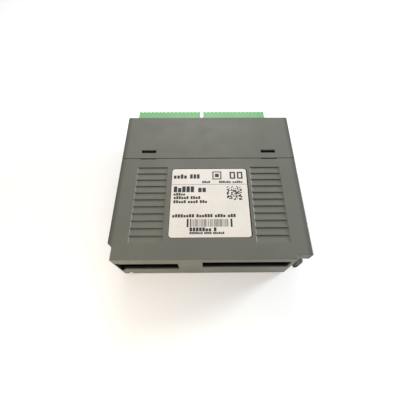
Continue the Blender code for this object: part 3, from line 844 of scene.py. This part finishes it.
def make_spring():
    """A wound wire whose end coils lie closed."""
    x, y, z = node_spans("lever_spring")
    steps, sides = 20, 8
    radius = (z[1] - z[0]) / 2 - SPRING_WIRE
    length = x[1] - x[0] - 2 * SPRING_WIRE
    bm = bmesh.new()
    rings = []
    for index in range(SPRING_COILS * steps + 1):
        share = index / (SPRING_COILS * steps)
        turn = 2 * math.pi * index / steps
        open_part = min(max((share - 0.12) / 0.76, 0), 1)
        middle = x[0] + SPRING_WIRE + length * (0.06 * share + 0.94 * open_part)
        ring = []
        for side in range(sides):
            angle = 2 * math.pi * side / sides
            out = radius + SPRING_WIRE * math.cos(angle)
            along = middle + SPRING_WIRE * math.sin(angle)
            across = middle_of(y) + out * math.cos(turn)
            up = middle_of(z) + out * math.sin(turn)
            ring.append(bm.verts.new(Vector((along, across, up)) * MM))
        rings.append(ring)
    for lower, upper in zip(rings, rings[1:]):
        for side in range(sides):
            other = (side + 1) % sides
            bm.faces.new((lower[side], lower[other], upper[other], upper[side]))
    bm.faces.new(rings[0])
    bm.faces.new(rings[-1])
    spring = new_piece("return_spring", bm)
    dress(spring, MATS["steel"], replaces=["lever_spring"])
    spring.modifiers.clear()
    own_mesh(spring)


make_lever()
make_pin()
make_spring()

# ------------------------------------------------- terminal plugs, headers

ENTRY_Z = (10.4, 13.0)
SCREW_Z = 18.0


def make_plugs():
    """A block with side ears and a tongue into the header, then its room, entries and marks."""
    poles_span = (POLE_X[0], POLE_X[-1])
    plug = slab("plug", PLUG_X, depths(89.3, 100.8), PLUG_Z, 0.35, (0.15, 0.5), "Y", 4)
    ears = [
        slab("ear", span, depths(89.35, 96.5), (10.6, 21.2), 0.4, (0.1, 0.45), "Y")
        for span in ((PLUG_X[0] - 0.55, PLUG_X[0] + 1), (PLUG_X[1] - 1, PLUG_X[1] + 0.55))
    ]
    tongue_x = grown(PLUG_X, -1.0)
    tongue = slab("tongue", tongue_x, depths(76.6, 89.8), (9.7, 20.7), 0.3, (0.5, 0.05), "Y")
    carve(plug, ears, "UNION")
    carve(plug, [tongue], "UNION")
    chamber_x, well_x = grown(poles_span, 1.0), grown(poles_span, 0.6)
    carve(plug, [slab("chamber", chamber_x, depths(89.9, 95.5), (9.8, 19.6), 0.2, 0.1)])
    carve(plug, [slab("well", well_x, depths(75.6, 90.4), (13.9, 16.5), 0.2, 0.1)])
    carve(plug, [slab("bar", PLUG_X, depths(100.75, 102), (14.0, 15.7), 0.3, 0.05)])
    hole = [(1.0, 94), (1.0, 100.75), (1.06, 100.9), (1.15, 101.0), (1.15, 102)]
    hole = [(radius, depth(y)) for radius, y in hole]
    notch_z = (PLUG_Z[1] - 0.85, PLUG_Z[1] + 1)
    cuts = []
    for pole in POLE_X:
        entry_x, notch_x = (pole - 0.8, pole + 0.8), (pole - 0.6, pole + 0.6)
        cuts.append(opening("entry", entry_x, depths(95, 101), ENTRY_Z, 0.22, 0.2, "Y"))
        cuts.append(turned("screw_hole", hole, (pole, SCREW_Z), "Y", 24))
        cuts.append(slab("notch", notch_x, depths(99.2, 102), notch_z, 0.2, 0.15))
    carve(plug, cuts)
    grooves = []
    for pole in POLE_X[:-1]:
        line = pole + POLE_PITCH / 2
        for z in ((9.6, 13.8), (15.9, 20.4)):
            x = (line - 0.13, line + 0.13)
            grooves.append(slab("groove", x, depths(100.7, 102), z, 0.05, 0.03))
    carve(plug, grooves)
    bodies = ("plug_lower", "plug_upper")
    both_sides("plug_shell", plug, MATS["green"], bodies, ["terminal_plug"])


def make_clamps():
    """A wire cage and a slotted screw at each pole."""
    cage = slab("cage", (-0.92, 0.92), depths(90.2, 95.2), (10.1, 16.2), 0.2, 0.1, "Y")
    carve(cage, [slab("mouth", (-0.62, 0.62), depths(91.4, 96), (10.8, 12.9), 0.15, 0.05, "Y")])
    head = [
        (0.02, 92.6), (0.55, 92.6), (0.55, 93.9), (0.9, 93.9),
        (0.95, 94.05), (0.95, 94.95), (0.8, 95.2), (0.02, 95.2),
    ]
    screw = turned("screw", [(radius, depth(y)) for radius, y in head], (0, SCREW_Z), "Y", 24)
    slot_z = (SCREW_Z - 1.5, SCREW_Z + 1.5)
    carve(screw, [slab("slot", (-0.14, 0.14), depths(94.5, 96), slot_z, 0.05, 0.03)])
    clamp = merge("clamp", [cage, screw])
    row = copies("clamp_row_shell", clamp, [(pole, 0, 0) for pole in POLE_X])
    bodies = ("plug_lower", "plug_upper")
    both_sides("clamp_set", row, MATS["steel"], bodies, ["clamp_row"])


def make_headers():
    """A socket with a pin hole and a keyway at each pole, and its row of bent pins."""
    x, y, z = node_spans("header_lower")
    header = slab("header", x, y, z, 0.4, (0.2, 0.2), "Y")
    socket_y = (y[0] + 2, y[1])
    carve(header, [opening("socket", grown(x, -0.7), socket_y, grown(z, -1.2), 0.25, 0.3, "Y")])
    hole_y, hole_z = (y[0] - 1, y[0] + 3), (14.75, 15.65)
    keyway_y, keyway_z = (y[1] - 6, y[1] + 1), (z[0] + 0.8, z[0] + 1.6)
    cuts = []
    for pole in POLE_X:
        hole_x, keyway_x = (pole - 0.45, pole + 0.45), (pole - 0.4, pole + 0.4)
        cuts.append(slab("pin_hole", hole_x, hole_y, hole_z, 0.1, 0.05, "Y"))
        cuts.append(slab("keyway", keyway_x, keyway_y, keyway_z, 0.1, 0.05, "Y"))
    carve(header, cuts)
    both_sides("header_shell", header, MATS["green"], replaces=["header"])
    thick = (-0.28, 0.28)
    blade = slab("blade", thick, depths(72.4, 84.5), (14.92, 15.48), 0.06, (0.05, 0.24), "Y")
    leg = slab("leg", thick, depths(72.4, 72.96), (7.9, 15.4), 0.06, (0.15, 0.05), "Z")
    pin = merge("pin", [blade, leg])
    row = copies("pin_row_shell", pin, [(pole, 0, 0) for pole in POLE_X])
    both_sides("pin_set", row, MATS["steel"], replaces=["header_pins"])


make_plugs()
make_clamps()
make_headers()

# ------------------------------------------------------------ status lights

STATUSES = ("run", "error", "alarm")


def make_status_window():
    """A clear lens in front of a black mask, with a lamp behind each of its three holes."""
    x, y, z = node_spans("status_window")
    lens_y = (y[0], y[1] + 0.3)
    lens = slab("lens", grown(x, -0.35), lens_y, grown(z, -0.5), 0.6, (0.1, 0.4), "Y")
    dress(lens, MATS["clear"], replaces=["status_window"])
    guides = [node_spans(f"light_guide_{status}") for status in STATUSES]
    lamps = [(middle_of(guide[0]), guide[2][1] - 0.6) for guide in guides]
    back = y[0] - 0.02
    mask = slab("lens_mask", (40.0, 46.2), (back - 0.15, back), (4.8, 22.2), 0.3, 0.03, "Y")
    hole = [(0.85, back - 1), (0.85, back + 1)]
    carve(mask, [turned("hole", hole, lamp, "Y", 24) for lamp in lamps])
    dress(mask, MATS["black"])
    dome = [(0.02, -0.28), (0.84, -0.28), (0.84, -0.1), (0.5, -0.03), (0.02, 0)]
    dome = [(radius, back + rise) for radius, rise in dome]
    for lamp, status in zip(lamps, STATUSES):
        light = turned(f"lamp_{status}", dome, lamp, "Y", 24)
        dress(light, MATS[f"led_{status}"])
    ticks = [
        slab("tick", (x - 1.1, x + 1.1), (back, back + 0.03), (z + 1.15, z + 1.35), 0.05, 0.01, "Y")
        for x, z in lamps
    ]
    dress(merge("lamp_ticks", ticks), MATS["white_ink"])


make_status_window()

# --------------------------------------------------- backplane connector

FINE_PITCH = 1.27


def make_backplane_connector():
    """A socket around a tongue that carries gold contact fingers."""
    x, y, z = node_spans("backplane_connector")
    body = slab("socket_body", x, y, z, 0.5, (0.2, 0.2), "Y")
    middle = middle_of(z)
    mouth_y, mouth_z = (y[0], y[0] + 6), (middle - 2.3, middle + 2.3)
    carve(body, [opening("mouth", grown(x, -2), mouth_y, mouth_z, 0.3, 0.4, "Y", "low")])
    passage_y, passage_z = (y[0] + 5, y[1] + 1), (middle - 0.6, middle + 0.6)
    carve(body, [slab("passage", grown(x, -2.6), passage_y, passage_z, 0.1, 0.05, "Y")])
    dress(body, MATS["black"], replaces=["backplane_connector"])
    x, y, z = node_spans("backplane_contacts")
    tongue = slab("contact_tongue", x, y, grown(z, -0.08), 0.1, (0.15, 0.02), "Y")
    dress(tongue, MATS["black"])
    finger = slab("finger", (-0.35, 0.35), (y[0] + 0.2, y[1]), z, 0.05, (0.1, 0.02), "Y")
    count = int((x[1] - x[0] - 0.7) / FINE_PITCH)
    places = [(x[0] + 0.85 + FINE_PITCH * i, 0, 0) for i in range(count)]
    fingers = copies("contact_fingers", finger, places)
    dress(fingers, MATS["gold"], replaces=["backplane_contacts"])


make_backplane_connector()

# ------------------------------------------------------- parts on the boards


def gull_wing(axis, edge, outward, base, height, across):
    """One lead that leaves a chip at mid height and lands flat on the board."""
    flat = [
        (-0.3, 0.55), (0.3, 0.55), (0.5, 0.12), (1.0, 0.12),
        (1.0, 0), (0.42, 0), (0.22, 0.43), (-0.3, 0.43),
    ]
    outline = [(edge + outward * a, base + (b if b < 0.2 else b * height)) for a, b in flat]
    return prism("lead", outline, (across - 0.16, across + 0.16), axis)


def lead_row(axis, ends, run, pitch, base, height):
    """Leads along both edges of a chip that face each other."""
    count = int((run[1] - run[0] - 0.6) / pitch) + 1
    leads = []
    for i in range(count):
        across = middle_of(run) + (i - (count - 1) / 2) * pitch
        leads.append(gull_wing(axis, ends[0], -1, base, height, across))
        leads.append(gull_wing(axis, ends[1], 1, base, height, across))
    return leads


def chip(node, pitch, sides="XY", lead=1.0):
    x, y, z = node_spans(node)
    body_x = grown(x, -lead) if "X" in sides else x
    body_y = grown(y, -lead) if "Y" in sides else y
    body = slab(f"{node}_body", body_x, body_y, (z[0] + 0.1, z[1]), 0.2, (0.2, 0.12))
    corner = (body_x[0] + 1.1, body_y[1] - 1.1)
    dimple = turned("dimple", [(0.35, z[1] - 0.08), (0.4, z[1] + 1)], corner, "Z", 20)
    carve(body, [dimple])
    dress(body, MATS["black"], replaces=[node])
    leads = []
    if "Y" in sides:
        leads += lead_row("X", body_y, body_x, pitch, z[0], z[1] - z[0])
    if "X" in sides:
        leads += lead_row("Y", body_x, body_y, pitch, z[0], z[1] - z[0])
    dress(merge(f"{node}_leads", leads), MATS["steel"])


def make_chips():
    for node in ("processor_chip", "converter_chip", "gate_array"):
        chip(node, 0.8)
    for index in range(1, 5):
        chip(f"multiplexer_{index}", 1.27, "Y", 0.9)
        chip(f"photocoupler_{index}", 2.54, "Y", 0.9)


def make_capacitors():
    """Cans with a rolled groove and scored tops, on plastic bases."""
    for index in (1, 2):
        x, y, z = node_spans(f"capacitor_{index}")
        centre = (middle_of(x), middle_of(y))
        r = (x[1] - x[0]) / 2
        rise = [
            (0.02, 0.6), (r - 0.25, 0.6), (r - 0.02, 0.9), (r - 0.02, 1.8), (r - 0.3, 2.1),
            (r - 0.02, 2.4), (r - 0.02, 7.6), (r - 0.3, 7.95), (r - 0.9, 7.95), (r - 1.0, 7.85),
            (0.02, 7.85),
        ]
        profile = [(radius, z[0] + height) for radius, height in rise]
        can = turned(f"capacitor_can_{index}", profile, centre, "Z", 40)
        for length, width in ((1.4, 0.08), (0.08, 1.4)):
            score_x = (centre[0] - length, centre[0] + length)
            score_y = (centre[1] - width, centre[1] + width)
            carve(can, [slab("score", score_x, score_y, (z[1] - 0.25, z[1] + 1), 0.03, 0.02)])
        dress(can, MATS["can"], replaces=[f"capacitor_{index}"])
        base = slab(f"capacitor_base_{index}", x, y, (z[0], z[0] + 0.7), 0.9, 0.1)
        dress(base, MATS["black"])


def make_transformer():
    x, y, z = node_spans("isolation_transformer")
    bobbin = slab("transformer_bobbin", x, y, (z[0], z[0] + 2.0), 0.4, 0.2)
    flange_z = (z[0] + 1.5, z[1] - 1.2)
    flanges = [
        slab("flange", grown(x, -1), (start, start + 1), flange_z, 0.3, 0.2)
        for start in (y[0] + 0.6, y[1] - 1.6)
    ]
    carve(bobbin, flanges, "UNION")
    dress(bobbin, MATS["black"])
    winding_z = (z[0] + 1.9, z[1] - 1.4)
    winding = slab(
        "transformer_winding", grown(x, -1.6), grown(y, -1.5), winding_z, 0.8, 0.3, "Y"
    )
    dress(winding, MATS["tape"])
    core = slab("transformer_core", x, grown(y, -2.6), (z[0] + 1.2, z[1]), 0.3, 0.25, "Y")
    window_z = (z[0] + 1.9, z[1] - 1.3)
    carve(core, [slab("window", grown(x, -1.5), y, window_z, 0.3, 0.1, "Y")])
    dress(core, MATS["moulded"], replaces=["isolation_transformer"])


def make_converter():
    x, y, z = node_spans("power_converter")
    module = slab("converter_module", x, y, (z[0] + 0.4, z[1]), 0.4, (0.2, 0.5), "Z", 4)
    feet = [
        slab("foot", (a, a + 1.2), (b, b + 1.2), (z[0], z[0] + 1), 0.2, 0.05)
        for a in (x[0] + 0.6, x[1] - 1.8)
        for b in (y[0] + 0.6, y[1] - 1.8)
    ]
    carve(module, feet, "UNION")
    panel_z = (z[1] - 0.15, z[1] + 1)
    carve(module, [slab("panel", grown(x, -1.2), grown(y, -1.2), panel_z, 0.4, 0.05)])
    dress(module, MATS["moulded"], replaces=["power_converter"])


def make_inductor():
    x, y, z = node_spans("power_inductor")
    centre = (middle_of(x), middle_of(y))
    top = z[1]
    frame_block = slab("inductor_frame", x, y, z, 1.4, (0.1, 0.25), "Z")
    carve(frame_block, [turned("ring", [(2.9, top - 0.7), (2.9, top + 1)], centre, "Z", 40)])
    drum = [(0.02, -0.9), (2.6, -0.9), (2.6, -0.3), (2.4, -0.1), (0.02, -0.1)]
    drum = [(radius, top + rise) for radius, rise in drum]
    carve(frame_block, [turned("drum", drum, centre, "Z", 40)], "UNION")
    dress(frame_block, MATS["moulded"], replaces=["power_inductor"])


def make_crystal():
    x, y, z = node_spans("crystal")
    can_z = (z[0] + 0.5, z[1])
    can = slab("crystal_can", grown(x, -0.35), grown(y, -0.35), can_z, 1.85, (0.1, 0.5), "Z", 4)
    carve(can, [slab("rim", x, y, (z[0], z[0] + 0.55), 2.2, 0.12, "Z", 4)], "UNION")
    dress(can, MATS["can"], replaces=["crystal"])


def make_board_connector():
    """A tall stacking connector with tails that are soldered to both boards."""
    x, y, z = node_spans("board_connector")
    body = slab("stacker_body", x, grown(y, -0.8), grown(z, -0.2), 0.4, 0.2)
    waist = [
        slab("waist", grown(x, -1.5), (start, start + 1), grown(z, -3.8), 0.3, 0.1)
        for start in (y[0] + 0.1, y[1] - 1.1)
    ]
    carve(body, waist)
    dress(body, MATS["black"], replaces=["board_connector"])
    flat = [
        (-0.2, 0.9), (0.25, 0.9), (0.4, 0.15), (0.8, 0.15),
        (0.8, 0), (0.28, 0), (0.12, 0.75), (-0.2, 0.75),
    ]
    pieces = []
    for edge, outward in ((y[0] + 0.8, -1), (y[1] - 0.8, 1)):
        for base, upward in ((z[0], 1), (z[1], -1)):
            outline = [(edge + outward * a, base + upward * b) for a, b in flat]
            pieces.append(prism("tail", outline, (-0.2, 0.2), "X"))
    tail_set = merge("tail_set", pieces)
    count = int((x[1] - x[0] - 1) / FINE_PITCH)
    places = [(x[0] + 1.1 + FINE_PITCH * i, 0, 0) for i in range(count)]
    dress(copies("stacker_tails", tail_set, places), MATS["gold"])


def make_chip_lights():
    for status in STATUSES:
        slot = f"led_{status}"
        x, y, z = node_spans(slot)
        base = slab(f"chip_light_base_{status}", x, y, (z[0], z[0] + 0.35), 0.1, 0.05)
        gap_z = (z[0] - 1, z[0] + 0.1)
        carve(base, [slab("pad_gap", grown(x, -0.4), grown(y, 1), gap_z, 0.02, 0.01)])
        dress(base, MATS["white_ink"])
        lens_x, lens_y, lens_z = grown(x, -0.12), grown(y, -0.25), (z[0] + 0.3, z[1])
        lens = slab(f"chip_light_{status}", lens_x, lens_y, lens_z, 0.25, (0.02, 0.25), "Z", 4)
        dress(lens, MATS[slot], replaces=[slot])


make_chips()
make_capacitors()
make_transformer()
make_converter()
make_inductor()
make_crystal()
make_board_connector()
make_chip_lights()

# ---------------------------------------------------------- floor and view


FLOOR_RADIUS = 4.0
FLOOR_DROP = 0.0002
FLOOR_GLOW = 0.17
SKY_STRENGTH = 0.57
SKY_AND_GLOW = (1.0, 1.0, 1.0, 1.0)


def make_stage():
    bm = bmesh.new()
    bmesh.ops.create_circle(bm, cap_ends=True, segments=64, radius=FLOOR_RADIUS)
    floor = new_piece("floor", bm)
    floor.location.z = -FLOOR_DROP
    recipe = Recipe("floor_paint", roughness=0.9)
    recipe.shader.inputs["Specular IOR Level"].default_value = 0.1
    recipe.shader.inputs["Emission Color"].default_value = SKY_AND_GLOW
    recipe.shader.inputs["Emission Strength"].default_value = FLOOR_GLOW
    tone = recipe.spread(recipe.noise(400, 2), 0, 1)
    recipe.colour(recipe.blend(tone, (0.955, 0.955, 0.95), (0.965, 0.965, 0.96)))
    floor.data.materials.append(recipe.mat)


def area_light(name, place, target, size, power, colour=(1, 1, 1)):
    """A round lamp; places and size are in metres, the power in watts."""
    light = bpy.data.lights.new(name, "AREA")
    light.shape = "DISK"
    light.size = size
    light.energy = power
    light.color = colour
    obj = bpy.data.objects.new(name, light)
    obj.location = place
    obj.rotation_euler = (Vector(place) - Vector(target)).to_track_quat("Z", "Y").to_euler()
    bpy.context.scene.collection.objects.link(obj)


def make_light():
    """A soft sky, a key above the wiring side, a cool window at right and a warm fill at left."""
    world = bpy.data.worlds.new("studio")
    world.use_nodes = True
    background = world.node_tree.nodes["Background"]
    background.inputs["Color"].default_value = SKY_AND_GLOW
    background.inputs["Strength"].default_value = SKY_STRENGTH
    bpy.context.scene.world = world
    area_light("key", (-0.01, 0.25, 0.22), (0, 0.02, 0.02), 0.22, 0.40)
    area_light("window", (0.40, 0.14, 0.085), (0, 0, 0.02), 0.14, 2.5, (0.80, 0.92, 1.0))
    area_light("fill", (-0.14, -0.16, 0.08), (-0.04, -0.05, 0.01), 0.12, 0.175, (1.0, 0.80, 0.56))
    bpy.context.scene.view_settings.view_transform = "Standard"


SENSOR_WIDTH = 36.0
FOCAL_LENGTH = 22.27
CAMERA_PLACE = (-1.62, -82.86, 144.34)
CAMERA_TURN = -0.96
CAMERA_TILT = 26.8
CAMERA_ROLL = 0.51


def make_camera():
    """Close above the rear edge, looking down towards the wiring side."""
    data = bpy.data.cameras.new("camera")
    data.sensor_width = SENSOR_WIDTH
    data.lens = FOCAL_LENGTH
    data.clip_start = 0.005
    camera = bpy.data.objects.new("camera", data)
    turn = Matrix.Rotation(math.radians(CAMERA_TURN), 4, "Z")
    tilt = Matrix.Rotation(math.radians(CAMERA_TILT), 4, "X")
    roll = Matrix.Rotation(math.radians(CAMERA_ROLL), 4, "Z")
    place = Matrix.Translation(Vector(CAMERA_PLACE) * MM)
    camera.matrix_world = place @ turn @ tilt @ roll
    bpy.context.scene.collection.objects.link(camera)
    bpy.context.scene.camera = camera


make_stage()
make_light()
make_camera()
